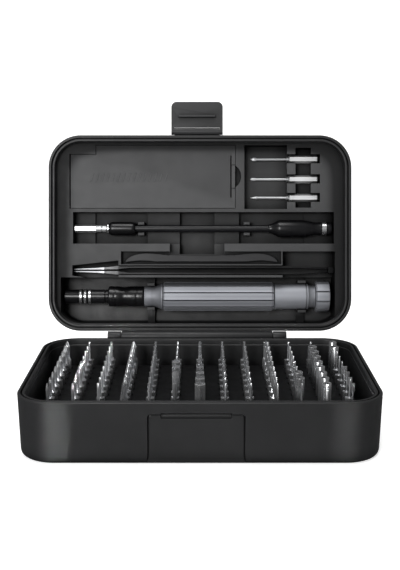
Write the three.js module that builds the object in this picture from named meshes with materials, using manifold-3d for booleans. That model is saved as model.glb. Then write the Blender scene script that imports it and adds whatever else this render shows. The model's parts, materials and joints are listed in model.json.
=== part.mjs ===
// Precision screwdriver set: a hinged plastic case with a rack of bits in its base and
// a moulded tool tray in its lid. Millimetres.
//
// Case frame: origin at the middle of the base's underside, x right, y to the rear, z up.
// Lid frame: origin on the lid's rear rim edge, x right, y away from the hinge, z out of
// the tray, so everything inside the lid lies at negative z. The lid stands open.

import * as THREE from 'three';
import { mergeVertices } from 'three/addons/utils/BufferGeometryUtils.js';
import Module from 'manifold-3d';

// ---- Driving dimensions ----

const GAP = 0.3;
const ARC_STEPS = 6;
const OVERLAP = 0.05;

const CASE = { width: 175, depth: 113.1, cornerRadius: 18.6, wall: 3.7, draft: 0.8, edge: 2.4 };
const GROOVE = { inset: 1.65, width: 0.7, depth: 0.6 };
const BASE = { height: 30.7, floor: 2.4 };
const LID = { thickness: 25, floor: 1.6, openAngle: 102.3 };

// The hinge, latch and catch share one centre line, slightly left of the case's own.
const FITTINGS_X = -1.7;
const HINGE = { setback: 3.06, length: 102.9, endKnuckle: 7.7, radius: 2.6, pin: 0.8, web: 2.2 };
const STOP_HEEL = { length: 77, front: -2.76, rear: -0.6, drop: 5 };
const LATCH = {
  width: 29.7, thickness: 2.4, length: 14.6, cornerRadius: 3, ear: 1.6,
  axisY: 115.3, axisZ: -2.0, hub: 1.9, pin: 0.7,
};
const LATCH_RIDGE = { length: 21, y: 122.9, foot: 1.9, crest: 0.9, tipZ: 1.85 };
const CATCH = { recessWidth: 45.5, recessTop: 24.8, recessFloor: 55.3 };
const CATCH_SLOT = { width: 33, bottom: 22.7, top: 25.3, floor: 54.2 };

const RACK = { width: 157, front: -41.5, rear: 43.5, bottom: 4, top: 18.3, radius: 3, skin: 1.3 };
const SLOT = { width: 5.2, overrun: 3, floor: 5.2 };
const BIT = { foot: 5.5, shoulder: 24.3, top: 33.5, hexRadius: 2.31 };
// Half a flat of a hexagon, in degrees.
const CORNER_TURN = 30;
const BIT_WEB = { width: 1.2, height: 2.4 };
const GRID = { columns: 13, rows: 9, pitchX: 12.27, pitchY: 9.25, frontY: -36 };
const MAGNET_SHEET = { margin: 2.5, bottom: 2.7, top: 3.7 };
// Blade radius of the front bit and of the rear bit in each column, left to right.
const BLADES = [
  [1.4, 0.9], [1.8, 0.5], [0.9, 0.6], [1.2, 1.6], [1.0, 0.8], [1.9, 0.7], [2.2, 0.6],
  [0.9, 0.7], [0.9, 0.7], [1.7, 1.4], [1.0, 0.9], [1.9, 1.0], [1.8, 2.0],
];

const TRAY = { width: 166.8, depth: 104.9, radius: 14.5, top: -4.5, bottom: -22.7 };
const WELL = { left: -75.9, right: 18, bottom: 72.7, top: 106.4, floor: -21.2 };
const COVER = { left: -75.2, right: 20.4, bottom: 71.3, top: 107.7, face: -4.6, thickness: 1.5 };
const COVER_HINGE = { x: -74, z: -5.6, pin: 0.6, reach: 1.2, swing: 1.9 };
const COVER_SNAP = { slitX: 18, slit: 0.7, slitY: [77.4, 101.75], tabY: [82.8, 96.4], groove: 0.5 };
const COVER_TAB = { right: -60.7, bottom: 102.7 };
// Stretches of the extension bar's channel, left to right, each with its floor's height.
const CHANNEL_STEPS = [
  [-73.9, -61.7, -13], [-61.7, -30.8, -15], [-30.8, -11.9, -12.4], [-11.9, 8.5, -16.3],
  [8.5, 23, -12.4], [23, 61.6, -16], [61.6, 77.9, -15.2],
];
const THUMB_NOTCH = { x: 16.3, y: 89.7, radius: 7.7, floor: -8 };

const DRIVER = { y: 19.8, z: -13.6 };
const EXTENSION = { y: 59.6, z: -9.8 };
const TWEEZERS = { y: 35.15, z: -10, left: -74, right: 74.5 };
const LONG_BIT = { rows: [100, 88.3, 77.5], z: -8, tip: 29.5, neck: 51.6, end: 68.9 };
const PRY_TOOL = {
  x: 0.85, half: 44.2, waist: 30, shoulder: 34, tipY: 39.6, sole: 40, top: 45.2, saddle: 43.4,
  face: -5.4, thickness: 1.8,
};

// ---- Materials ----

function finish(color, roughness, metalness) {
  return () => new THREE.MeshStandardMaterial({ color, roughness, metalness });
}

const casePlastic = finish('#38393b', 0.62, 0);
const trayPlastic = finish('#3f4042', 0.7, 0);
const rackPlastic = finish('#17181a', 0.75, 0);
const anodised = finish('#9397a0', 0.38, 1);
const blackMetal = finish('#1b1c1e', 0.45, 0.6);
const brightSteel = finish('#c4c7ca', 0.25, 1);
const magnetGrey = finish('#55575a', 0.5, 0.8);

// ---- Solids from three.js geometry ----

const wasm = await Module();
wasm.setup();
const { Manifold } = wasm;

// Joins a geometry's shared corners and drops the slivers this leaves at poles and seams.
function solid(geometry) {
  geometry.deleteAttribute('normal');
  geometry.deleteAttribute('uv');
  const merged = mergeVertices(geometry, 1e-4);
  const corners = Array.from(merged.index.array);
  const triVerts = [];
  for (let i = 0; i < corners.length; i += 3) {
    const [a, b, c] = corners.slice(i, i + 3);
    if (a !== b && b !== c && c !== a) triVerts.push(a, b, c);
  }
  const mesh = new wasm.Mesh({
    numProp: 3,
    vertProperties: new Float32Array(merged.attributes.position.array),
    triVerts: new Uint32Array(triVerts),
  });
  return new Manifold(mesh);
}

// A named mesh of one solid, with a material of its own.
function piece(name, body, material) {
  const { vertProperties, triVerts } = body.getMesh();
  const geometry = new THREE.BufferGeometry();
  geometry.setAttribute('position', new THREE.BufferAttribute(vertProperties, 3));
  geometry.setIndex(new THREE.BufferAttribute(triVerts, 1));
  geometry.computeVertexNormals();
  const mesh = new THREE.Mesh(geometry, material());
  mesh.name = name;
  return mesh;
}

function box([x0, x1], [y0, y1], [z0, z1]) {
  const geometry = new THREE.BoxGeometry(x1 - x0, y1 - y0, z1 - z0);
  return solid(geometry.translate((x0 + x1) / 2, (y0 + y1) / 2, (z0 + z1) / 2));
}

function join(solids) {
  return solids.reduce((whole, next) => whole.add(next));
}

// A plate of the given outline between two heights.
function plate(outline, z0, z1) {
  const options = { depth: z1 - z0, bevelEnabled: false, curveSegments: ARC_STEPS };
  const geometry = new THREE.ExtrudeGeometry(outline, options);
  return solid(geometry.translate(0, 0, z0));
}

function polygon(points) {
  return new THREE.Shape(points.map(([x, y]) => new THREE.Vector2(x, y)));
}

// A bar of constant section along x, its section given as [y, z] points.
function bar(section, x0, x1) {
  const geometry = new THREE.ExtrudeGeometry(polygon(section), { depth: x1 - x0, bevelEnabled: false });
  const axes = new THREE.Matrix4().set(0, 0, 1, x0, 1, 0, 0, 0, 0, 1, 0, 0, 0, 0, 0, 1);
  return solid(geometry.applyMatrix4(axes));
}

function roundedRectangle(width, depth, radius) {
  const x = width / 2 - radius;
  const y = depth / 2 - radius;
  const outline = new THREE.Shape();
  outline.absarc(x, -y, radius, -Math.PI / 2, 0);
  outline.absarc(x, y, radius, 0, Math.PI / 2);
  outline.absarc(-x, y, radius, Math.PI / 2, Math.PI);
  outline.absarc(-x, -y, radius, Math.PI, 1.5 * Math.PI);
  return outline;
}

// A profile of [radius, x] points turned about the x axis. A solid piece starts and ends on
// the axis and a ring closes on itself; both run outwards first, then towards larger x.
function turned(profile, sides) {
  const points = profile.map(([radius, x]) => new THREE.Vector2(radius, x));
  return solid(new THREE.LatheGeometry(points, sides).rotateZ(-Math.PI / 2));
}

function rod(radius, x0, x1, sides = 12) {
  return turned([[0, x0], [radius, x0], [radius, x1], [0, x1]], sides);
}

function ring(inner, outer, x0, x1, sides = 12) {
  return turned([[inner, x0], [outer, x0], [outer, x1], [inner, x1], [inner, x0]], sides);
}

// ---- Case halves ----

function casePan(height, floor) {
  const { width, depth, cornerRadius, wall, draft, edge } = CASE;
  const geometry = new THREE.ExtrudeGeometry(roundedRectangle(width, depth, cornerRadius), {
    depth: height, curveSegments: ARC_STEPS,
    bevelThickness: edge, bevelSize: edge, bevelOffset: -edge, bevelSegments: 2,
  });
  geometry.translate(0, 0, edge);
  const position = geometry.attributes.position;
  for (let i = 0; i < position.count; i++) {
    const inset = draft * (1 - position.getZ(i) / height);
    position.setX(i, position.getX(i) * (1 - 2 * inset / width));
    position.setY(i, position.getY(i) * (1 - 2 * inset / depth));
  }
  const inside = roundedRectangle(width - 2 * wall, depth - 2 * wall, cornerRadius - wall);
  return solid(geometry)
    .intersect(box([-width, width], [-depth, depth], [-1, height]))
    .subtract(plate(inside, floor, height + edge))
    .subtract(rimGroove(height));
}

function rimGroove(height) {
  const band = (inset) => {
    const { width, depth, cornerRadius } = CASE;
    const outline = roundedRectangle(width - 2 * inset, depth - 2 * inset, cornerRadius - inset);
    return plate(outline, height - GROOVE.depth, height + 1);
  };
  return band(GROOVE.inset).subtract(band(GROOVE.inset + GROOVE.width));
}

// A knuckle about the hinge axis, which lies at y = 0 and z = 0, with a web to the wall on
// the given side.
function knuckle(x0, x1, side) {
  const { radius, setback, web } = HINGE;
  const reach = [0, side * (setback + 0.6)].sort((a, b) => a - b);
  return rod(radius, x0, x1, 16).add(box([x0, x1], reach, [-radius, web - radius]));
}

function baseShell() {
  const hingeY = CASE.depth / 2 + HINGE.setback;
  const end = HINGE.length / 2;
  const inner = end - HINGE.endKnuckle;
  const half = CATCH.recessWidth / 2;
  const front = [-CASE.depth, -CATCH.recessFloor];
  const slotHalf = CATCH_SLOT.width / 2;
  const knuckles = knuckle(FITTINGS_X - end, FITTINGS_X - inner, -1)
    .add(knuckle(FITTINGS_X + inner, FITTINGS_X + end, -1))
    .subtract(rod(HINGE.pin + GAP, FITTINGS_X - end - 1, FITTINGS_X + end + 1))
    .translate([0, hingeY, BASE.height]);
  return casePan(BASE.height, BASE.floor)
    .subtract(box([FITTINGS_X - half, FITTINGS_X + half], front, [-1, CATCH.recessTop]))
    .subtract(box([FITTINGS_X - slotHalf, FITTINGS_X + slotHalf], [-CASE.depth, -CATCH_SLOT.floor],
      [CATCH_SLOT.bottom, CATCH_SLOT.top]))
    .add(knuckles);
}

function lidShell() {
  const inner = HINGE.length / 2 - HINGE.endKnuckle - GAP;
  const tilt = LID.openAngle - 180;
  const heelHalf = STOP_HEEL.length / 2;
  const heel = box([FITTINGS_X - heelHalf, FITTINGS_X + heelHalf], [STOP_HEEL.front, STOP_HEEL.rear],
    [-STOP_HEEL.drop, 0]).rotate([tilt, 0, 0]);
  const hinge = knuckle(FITTINGS_X - inner, FITTINGS_X + inner, 1)
    .add(heel)
    .subtract(rod(HINGE.pin + GAP, FITTINGS_X - HINGE.length, FITTINGS_X + HINGE.length))
    .translate([0, -HINGE.setback, 0]);
  return casePan(LID.thickness - GAP, LID.floor)
    .translate([0, CASE.depth / 2, -LID.thickness])
    .add(hinge)
    .add(latchLug());
}

// ---- Latch ----

function latchLug() {
  const half = LATCH.width / 2 - LATCH.ear - GAP;
  const span = [FITTINGS_X - half, FITTINGS_X + half];
  const web = box(span, [CASE.depth - 0.9, LATCH.axisY], [LATCH.axisZ - LATCH.hub, LATCH.axisZ + LATCH.pin]);
  return rod(LATCH.hub, ...span, 16)
    .translate([0, LATCH.axisY, LATCH.axisZ])
    .add(web)
    .subtract(latchBore());
}

function latchBore() {
  return rod(LATCH.pin + GAP, FITTINGS_X - LATCH.width, FITTINGS_X + LATCH.width)
    .translate([0, LATCH.axisY, LATCH.axisZ]);
}

function latch() {
  const { width, thickness, length, cornerRadius, ear, axisY, axisZ, hub } = LATCH;
  const half = width / 2;
  const foot = axisY + hub + 0.5;
  const top = foot + length;
  const outline = new THREE.Shape();
  outline.moveTo(-half, foot);
  outline.lineTo(half, foot);
  outline.absarc(half - cornerRadius, top - cornerRadius, cornerRadius, 0, Math.PI / 2);
  outline.absarc(cornerRadius - half, top - cornerRadius, cornerRadius, Math.PI / 2, Math.PI);
  const body = plate(outline, -GAP - thickness, -GAP).translate([FITTINGS_X, 0, 0]);
  const ears = [-half, half - ear].map((x) => {
    const span = [FITTINGS_X + x, FITTINGS_X + x + ear];
    const arm = box(span, [axisY, foot + 1], [-GAP - thickness, -GAP]);
    return rod(hub, ...span, 16).translate([0, axisY, axisZ]).add(arm);
  });
  return join([body, ...ears, latchRidge()]).subtract(latchBore());
}

function latchRidge() {
  const { length, y, foot, crest, tipZ } = LATCH_RIDGE;
  const slope = (foot - crest) / 2;
  const section = [[y, -GAP - 0.2], [y + foot, -GAP - 0.2], [y + foot - slope, tipZ], [y + slope, tipZ]];
  return bar(section, FITTINGS_X - length / 2, FITTINGS_X + length / 2);
}

// ---- Bits and their rack ----

const columnX = (column) => (column - (GRID.columns - 1) / 2) * GRID.pitchX;
const rowY = (row) => GRID.frontY + row * GRID.pitchY;

function bitRack() {
  const { width, front, rear, bottom, top, radius, skin } = RACK;
  const ends = [rowY(0) - SLOT.overrun, rowY(GRID.rows - 1) + SLOT.overrun];
  let rack = plate(roundedRectangle(width, rear - front, radius), bottom, top)
    .translate([0, (front + rear) / 2, 0]);
  for (let column = 0; column < GRID.columns; column++) {
    const x = columnX(column);
    rack = rack.subtract(box([x - SLOT.width / 2, x + SLOT.width / 2], ends, [SLOT.floor, top + 1]));
  }
  for (let column = 1; column < GRID.columns; column++) {
    const x = (columnX(column - 1) + columnX(column)) / 2;
    const half = (GRID.pitchX - SLOT.width) / 2 - skin;
    rack = rack.subtract(box([x - half, x + half], ends, [bottom - 1, top - skin]));
  }
  return rack;
}

function magnetSheet() {
  const { margin, bottom, top } = MAGNET_SHEET;
  const half = RACK.width / 2 - margin;
  return box([-half, half], [RACK.front + margin, RACK.rear - margin], [bottom, top]);
}

// Nine bits of one column: hexagonal shanks, each with its blade, on one thin strip.
function bitColumn(column) {
  const [front, rear] = BLADES[column];
  const x = columnX(column);
  const bits = [];
  for (let row = 0; row < GRID.rows; row++) {
    const blade = THREE.MathUtils.lerp(front, rear, row / (GRID.rows - 1));
    const profile = [
      [0, BIT.foot], [BIT.hexRadius, BIT.foot], [BIT.hexRadius, BIT.shoulder], [blade, BIT.top], [0, BIT.top],
    ];
    bits.push(turned(profile, 6).rotate([CORNER_TURN, -90, 0]).translate([x, rowY(row), 0]));
  }
  const strip = box([x - BIT_WEB.width / 2, x + BIT_WEB.width / 2], [rowY(0), rowY(GRID.rows - 1)],
    [BIT.foot, BIT.foot + BIT_WEB.height]);
  return join([strip, ...bits]);
}

// ---- Lid tray and storage cover ----

function lidTray() {
  const { width, depth, radius, top, bottom } = TRAY;
  const above = top + 1;
  const pocket = (spanX, spanY, floor) => box(spanX, spanY, [floor, above]);
  const core = (spanX, spanY, roof) => box(spanX, spanY, [bottom - 1, roof]);
  const tab = box([-90, COVER_TAB.right], [COVER_TAB.bottom, CASE.depth], [bottom, above]);
  const storage = join([
    pocket([WELL.left, COVER.right + GAP], [COVER.bottom - GAP, COVER.top + GAP],
      COVER.face - COVER.thickness - GAP),
    pocket([WELL.left, WELL.right], [WELL.bottom, WELL.top], WELL.floor),
    pocket([WELL.left, COVER_HINGE.x + COVER_HINGE.swing], [COVER.bottom - GAP, WELL.bottom + 1],
      COVER_HINGE.z - COVER_HINGE.swing),
  ]).subtract(tab);
  const tipPocket = plate(polygon([[-74.3, 32], [-47.4, 28.3], [-47.4, 40.8], [-74.3, 38]]), -15.6, above);
  const cuts = [
    storage,
    coverPins(COVER_HINGE.pin + GAP, COVER_HINGE.reach + GAP),
    thumbNotch(),
    pocket([25.8, 50.6], [70.7, 107.9], -12),
    ...LONG_BIT.rows.map((y) => pocket([50.3, 69.8], [y - 2.65, y + 2.65], -10.7)),
    pocket([55.5, 64.5], [71.5, 106.4], -12),
    ...CHANNEL_STEPS.map(([x0, x1, floor]) => pocket([x0, x1 + OVERLAP], [50.6, 69], floor)),
    pocket([-17.6, 14.2], [45, 51], -10),
    pocket([-11.9, 8.5], [44.6, 51], -16.3),
    pocket([-46, 47.3], [38.6, 46.1], -9),
    pocket([-74, 78.5], [32.3, 38], -15.6),
    pocket([48, 78.5], [30, 46.1], -16),
    tipPocket,
    box([-81, 78.5], [4, 31], [bottom - 1, above]),
    core([27, 79], [72, 104], -13.2),
    core([-72, 76], [51, 68], -17.5),
    core([-72, 76], [32.5, 48], -17.5),
  ];
  const blank = plate(roundedRectangle(width, depth, radius), bottom, top).translate([0, CASE.depth / 2, 0]);
  return join([blank.subtract(join(cuts)), ...saddles()]);
}

// Supports under the driver and the extension bar, each with two upright fingers.
function saddles() {
  const saddle = ([x0, x1], centreY, centreZ, radius, floor, reach) => {
    const inner = radius + GAP + 0.1;
    const bed = box([x0, x1], [centreY - reach, centreY + reach], [floor, centreZ - inner]);
    const fingers = [-1, 1].map((side) => {
      const spanY = [centreY + side * inner, centreY + side * (inner + 1.5)].sort((a, b) => a - b);
      return box([x0, x1], spanY, [floor, centreZ + radius / 3]);
    });
    return join([bed, ...fingers]);
  };
  return [
    saddle([-31, -26.8], DRIVER.y, DRIVER.z, 5.9, TRAY.bottom, 16),
    saddle([57.5, 62.2], DRIVER.y, DRIVER.z, 7.5, TRAY.bottom, 16),
    saddle([-36.3, -32.8], EXTENSION.y, EXTENSION.z, 2, -15.5, 4),
    saddle([25.6, 29.1], EXTENSION.y, EXTENSION.z, 2, -16.5, 4),
  ];
}

function coverPins(radius, reach) {
  const ends = [
    [COVER.bottom - reach, COVER.bottom + 1],
    [COVER_TAB.bottom - GAP - 1, COVER_TAB.bottom - GAP + reach],
  ];
  return join(ends.map(([y0, y1]) => rod(radius, y0, y1, 8)
    .rotate([0, 0, 90])
    .translate([COVER_HINGE.x, 0, COVER_HINGE.z])));
}

function thumbNotch() {
  const { x, y, radius, floor } = THUMB_NOTCH;
  return rod(radius, floor, 0, 20).rotate([0, -90, 0]).translate([x, y, 0]);
}

function storageCover() {
  const { left, right, bottom, top, face, thickness } = COVER;
  const back = face - thickness;
  const beside = [left - 1, COVER_TAB.right + GAP];
  const notch = box(beside, [COVER_TAB.bottom - GAP, top + 1], [back - 1, face + 1]);
  const { slitX, slit, slitY, tabY, groove } = COVER_SNAP;
  const springSlit = box([slitX - slit / 2, slitX + slit / 2], slitY, [back - 1, face + 1]);
  const tabGrooves = tabY.map((y) => box([slitX, right + 1], [y - groove / 2, y + groove / 2],
    [face - groove, face + 1]));
  return box([left, right], [bottom, top], [back, face])
    .subtract(join([notch, springSlit, ...tabGrooves]))
    .add(coverPins(COVER_HINGE.pin, COVER_HINGE.reach));
}

// ---- Screwdriver, built along x and laid in the tray ----

const RING_X = [-70.2, -67.6, -64.9];

function bitHolder() {
  const socket = rod(2.4, -80, -71, 6).add(rod(1.9, -71.1, -69));
  const grooves = RING_X.map((x) => ring(3.6, 5, x - 1.1, x + 1.1));
  const springStop = ring(3.5, 4.6, -53.5, -52.5);
  return rod(4, -79.7, -33.2).add(springStop).subtract(join([socket, ...grooves]));
}

function chuckCollar() {
  return turned([
    [4.9, -53.9], [6, -53.9], [6, -49.5], [5.6, -47.5], [5.6, -41], [6, -39], [6, -33.1],
    [4.4, -33.1], [4.4, -37.3], [4.9, -37.3], [4.9, -53.9],
  ], 12);
}

function driverNeck() {
  return turned([
    [3.4, -32.8], [5.9, -32.8], [5.9, -25.4], [7, -24.6], [7, -21.8], [3.4, -21.8], [3.4, -32.8],
  ], 12);
}

function driverGrip() {
  return turned([
    [3.4, -21.5], [8, -21.5], [8.6, -20.9], [8.6, 42.8], [8, 43.4], [3.4, 43.4], [3.4, -21.5],
  ], 12);
}

function driverBarrel() {
  return turned([
    [0, 43.7], [7.5, 43.7], [7.5, 63.5], [6.75, 64], [6.75, 67.4], [2.5, 67.4], [2.5, 72.5], [0, 72.5],
  ], 16);
}

function driverEndCap() {
  return turned([[0, 73], [4.6, 73], [4.6, 67.7], [9.3, 67.7], [9.3, 75.9], [0, 75.9]], 20);
}

function driver() {
  const group = new THREE.Group();
  group.position.set(0, DRIVER.y, DRIVER.z);
  group.add(
    piece('bit_holder', bitHolder(), blackMetal),
    ...RING_X.map((x, i) => piece(`holder_ring_${i + 1}`, ring(3.9, 4.3, x - 0.8, x + 0.8), brightSteel)),
    piece('holder_magnet', rod(1.5, -70.7, -69.3), magnetGrey),
    piece('collar_spring', ring(4.3, 4.65, -52.2, -40.6), brightSteel),
    piece('chuck_collar', chuckCollar(), blackMetal),
    piece('driver_shaft', rod(3, -32.4, 43.4), brightSteel),
    piece('driver_neck', driverNeck(), anodised),
    piece('driver_grip', driverGrip(), anodised),
    piece('driver_barrel', driverBarrel(), anodised),
    piece('cap_bearing', ring(2.8, 4.2, 68.2, 72.2), brightSteel),
    piece('driver_end_cap', driverEndCap(), anodised),
  );
  return group;
}

// ---- Extension bar ----

function extensionRod() {
  return join([rod(2.31, -73.7, -61.6, 6), rod(1.7, -61.7, -54.9), rod(2, -55, 50)]);
}

function extensionSocket() {
  return turned([[0, 40.5], [2.6, 40.5], [5, 45], [5, 65], [3.7, 66.5], [3.7, 77], [0, 77]], 12)
    .subtract(rod(2.3, 40, 50.3))
    .subtract(rod(1.9, 66.8, 68.6))
    .subtract(rod(2.4, 68.5, 78, 6))
    .subtract(ring(3.2, 5, 71, 74.3));
}

function extension() {
  const group = new THREE.Group();
  group.position.set(0, EXTENSION.y, EXTENSION.z);
  group.add(
    piece('extension_rod', extensionRod(), blackMetal),
    piece('extension_sleeve', ring(2.4, 3.95, -53, -38), blackMetal),
    piece('sleeve_ring', ring(2.4, 3.8, -54.5, -53.3), brightSteel),
    piece('extension_socket', extensionSocket(), blackMetal),
    piece('socket_ring', ring(3.5, 3.95, 71.3, 74), brightSteel),
    piece('socket_magnet', rod(1.5, 67.1, 68.3), magnetGrey),
  );
  return group;
}

// ---- Tweezers, pry tool and long bits ----

function tweezersArm(side) {
  const { left, right } = TWEEZERS;
  const edge = [
    [right, 0.2], [right - 16.5, 1.2], [left + 31, 1.2], [left + 26, 0.45], [left, 0.45], [left, 1],
    [left + 26, 3], [left + 27, 2.4], [right - 16.5, 2.4], [right, 1.4],
  ];
  const face = [[left, -0.8], [left + 24, -4], [right, -4], [right, 4], [left + 24, 4], [left, 0.8]];
  const strip = plate(polygon(edge.map(([x, y]) => [x, side * y])), -5, 5);
  return strip.intersect(plate(polygon(face), -5, 5).rotate([90, 0, 0]));
}

function tweezers() {
  const group = new THREE.Group();
  group.position.set(0, TWEEZERS.y, TWEEZERS.z);
  const heel = box([TWEEZERS.right + GAP, 78.2], [-1.9, 1.9], [-4, 4]);
  group.add(
    piece('tweezers_heel', heel, blackMetal),
    piece('tweezers_upper_arm', tweezersArm(1), blackMetal),
    piece('tweezers_lower_arm', tweezersArm(-1), blackMetal),
  );
  return group;
}

// A bar with a shallow saddle between two blades, each curving down to a point at its end.
function pryTool() {
  const { x, half, waist, shoulder, tipY, sole, top, saddle, face, thickness } = PRY_TOOL;
  const outline = new THREE.Shape();
  outline.moveTo(-half, tipY);
  outline.quadraticCurveTo(-shoulder - 1, sole + 1.4, -waist, sole);
  outline.lineTo(waist, sole);
  outline.quadraticCurveTo(shoulder + 1, sole + 1.4, half, tipY);
  outline.quadraticCurveTo(half - 4, top, shoulder, top);
  outline.quadraticCurveTo(0, 2 * saddle - top, -shoulder, top);
  outline.quadraticCurveTo(4 - half, top, -half, tipY);
  return plate(outline, face - thickness, face).translate([x, 0, 0]);
}

function longBit(y) {
  const { z, tip, neck, end } = LONG_BIT;
  return turned([
    [0, tip], [0.5, tip], [0.9, tip + 3.5], [0.9, neck - 1.2],
    [BIT.hexRadius, neck], [BIT.hexRadius, end], [0, end],
  ], 6).rotate([CORNER_TURN, 0, 0]).translate([0, y, z]);
}

// ---- Assembly ----

function hingePin(radius) {
  const end = HINGE.length / 2;
  return rod(radius, FITTINGS_X - end, FITTINGS_X + end)
    .translate([0, CASE.depth / 2 + HINGE.setback, BASE.height]);
}

function latchPin() {
  const half = LATCH.width / 2;
  return rod(LATCH.pin, FITTINGS_X - half, FITTINGS_X + half).translate([0, LATCH.axisY, LATCH.axisZ]);
}

function base() {
  const group = new THREE.Group();
  group.add(
    piece('base_shell', baseShell(), casePlastic),
    piece('hinge_pin', hingePin(HINGE.pin), brightSteel),
    piece('bit_rack', bitRack(), rackPlastic),
    piece('magnet_sheet', magnetSheet(), magnetGrey),
  );
  for (let column = 0; column < GRID.columns; column++) {
    const number = String(column + 1).padStart(2, '0');
    group.add(piece(`bit_column_${number}`, bitColumn(column), brightSteel));
  }
  return group;
}

function lid() {
  const tilt = THREE.MathUtils.degToRad(180 - LID.openAngle);
  const { setback } = HINGE;
  const group = new THREE.Group();
  group.rotation.x = tilt;
  group.position.set(0, CASE.depth / 2 + setback * (1 + Math.cos(tilt)), BASE.height);
  group.position.z += setback * Math.sin(tilt);
  group.add(
    piece('lid_shell', lidShell(), casePlastic),
    piece('lid_tray', lidTray(), trayPlastic),
    piece('latch_pin', latchPin(), brightSteel),
    piece('latch', latch(), casePlastic),
    piece('storage_cover', storageCover(), trayPlastic),
    driver(),
    extension(),
    tweezers(),
    piece('pry_tool', pryTool(), blackMetal),
    ...LONG_BIT.rows.map((y, i) => piece(`long_bit_${i + 1}`, longBit(y), brightSteel)),
  );
  return group;
}

const screwdriverSet = new THREE.Group();
screwdriverSet.add(base(), lid());

export default screwdriverSet;
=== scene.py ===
import json
import math

import bmesh
import bpy
import numpy as np
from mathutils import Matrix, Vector


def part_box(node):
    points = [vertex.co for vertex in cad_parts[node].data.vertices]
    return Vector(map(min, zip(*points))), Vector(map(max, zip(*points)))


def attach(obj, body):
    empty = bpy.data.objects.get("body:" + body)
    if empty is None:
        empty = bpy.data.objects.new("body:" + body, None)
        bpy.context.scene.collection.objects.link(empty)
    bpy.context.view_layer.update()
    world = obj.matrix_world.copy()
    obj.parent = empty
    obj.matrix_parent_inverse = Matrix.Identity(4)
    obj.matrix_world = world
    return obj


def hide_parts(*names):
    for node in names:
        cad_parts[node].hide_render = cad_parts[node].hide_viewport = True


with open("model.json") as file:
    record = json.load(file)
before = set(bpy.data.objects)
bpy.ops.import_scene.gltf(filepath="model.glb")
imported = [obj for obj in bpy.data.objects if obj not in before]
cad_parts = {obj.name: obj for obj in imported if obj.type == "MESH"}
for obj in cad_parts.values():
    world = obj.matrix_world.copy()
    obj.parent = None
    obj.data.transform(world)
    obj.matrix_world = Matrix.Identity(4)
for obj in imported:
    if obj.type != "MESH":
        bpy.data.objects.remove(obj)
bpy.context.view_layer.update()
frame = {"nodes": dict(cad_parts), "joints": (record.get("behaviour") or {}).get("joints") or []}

# ---- Camera, floor and studio light ----
# A camera a little above the open case, looking straight at it, over a plain white sweep.
# A soft box stands in front on the left and one hangs overhead. Two narrow strips stand low,
# close to the front corners, and draw an upright highlight down each of them.
camera_data = bpy.data.cameras.new("camera")
camera_data.lens = 61.85
camera_data.sensor_width = 36.0
camera = bpy.data.objects.new("camera", camera_data)
camera.location = (0.0, -0.4862, 0.180)
camera.rotation_euler = (math.radians(90 - 12.30), 0.0, 0.0)
bpy.context.scene.collection.objects.link(camera)
bpy.context.scene.camera = camera
bpy.context.scene.view_settings.view_transform = "Standard"

world = bpy.data.worlds.new("studio")
world.use_nodes = True
world.node_tree.nodes["Background"].inputs["Color"].default_value = (1.0, 1.0, 1.0, 1.0)
world.node_tree.nodes["Background"].inputs["Strength"].default_value = 0.13
bpy.context.scene.world = world


def soft_box(name, place, aim, width, height, watts):
    """A rectangular area lamp at a place, turned to face a point. Returns its lamp data."""
    lamp = bpy.data.lights.new(name, "AREA")
    lamp.shape = "RECTANGLE"
    lamp.size = width
    lamp.size_y = height
    lamp.energy = watts
    box_lamp = bpy.data.objects.new(name, lamp)
    box_lamp.location = place
    box_lamp.rotation_euler = (Vector(aim) - Vector(place)).to_track_quat("-Z", "Y").to_euler()
    box_lamp.visible_camera = False
    bpy.context.scene.collection.objects.link(box_lamp)
    return lamp


strip_spread = math.radians(5)
soft_box("front_left_box", (-0.34, -0.95, 0.36), (-0.02, 0.03, 0.08), 0.34, 0.26, 7.2)
soft_box("top_box", (-0.10, -0.10, 1.00), (0.0, 0.0, 0.05), 0.7, 0.4, 5.5)
left_strip = soft_box("left_strip", (-0.108, -0.26, 0.016), (-0.0680, -0.0565, 0.016), 0.004, 0.05, 0.0020)
left_strip.spread = strip_spread
right_strip = soft_box("right_strip", (0.108, -0.26, 0.016), (0.0695, -0.0565, 0.016), 0.004, 0.05, 0.0008)
right_strip.spread = strip_spread

sweep_reach = 12.0
wall_top = 5.0
wall_start = 0.45
sweep_turn = np.linspace(0, math.pi / 2, 13)
sweep_radius = 0.5
curve_y = wall_start + sweep_radius * np.sin(sweep_turn)
sweep_y = np.concatenate([[-sweep_reach], curve_y, [wall_start + sweep_radius]])
sweep_z = np.concatenate([[0.0], sweep_radius * (1 - np.cos(sweep_turn)), [wall_top]])
sides = [np.full(len(sweep_y), x) for x in (-sweep_reach, sweep_reach)]
sweep = np.stack([np.stack([x, sweep_y, sweep_z], -1) for x in sides], 1)
floor_mesh = bpy.data.meshes.new("floor")
sweep_faces = [(2 * i, 2 * i + 1, 2 * i + 3, 2 * i + 2) for i in range(len(sweep_y) - 1)]
floor_mesh.from_pydata(sweep.reshape(-1, 3).tolist(), [], sweep_faces)
floor_mesh.polygons.foreach_set("use_smooth", np.ones(len(floor_mesh.polygons), bool))
floor_object = bpy.data.objects.new("floor", floor_mesh)
floor_object.visible_glossy = False
bpy.context.scene.collection.objects.link(floor_object)
floor_paint = bpy.data.materials.new("floor_paint")
floor_paint.use_nodes = True
floor_shader = floor_paint.node_tree.nodes["Principled BSDF"]
floor_shader.inputs["Base Color"].default_value = (0.9, 0.9, 0.9, 1.0)
floor_shader.inputs["Roughness"].default_value = 0.9
floor_shader.inputs["Specular IOR Level"].default_value = 0.1
floor_shader.inputs["Emission Color"].default_value = (1.0, 1.0, 1.0, 1.0)
floor_shader.inputs["Emission Strength"].default_value = 0.55
floor_mesh.materials.append(floor_paint)

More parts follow.
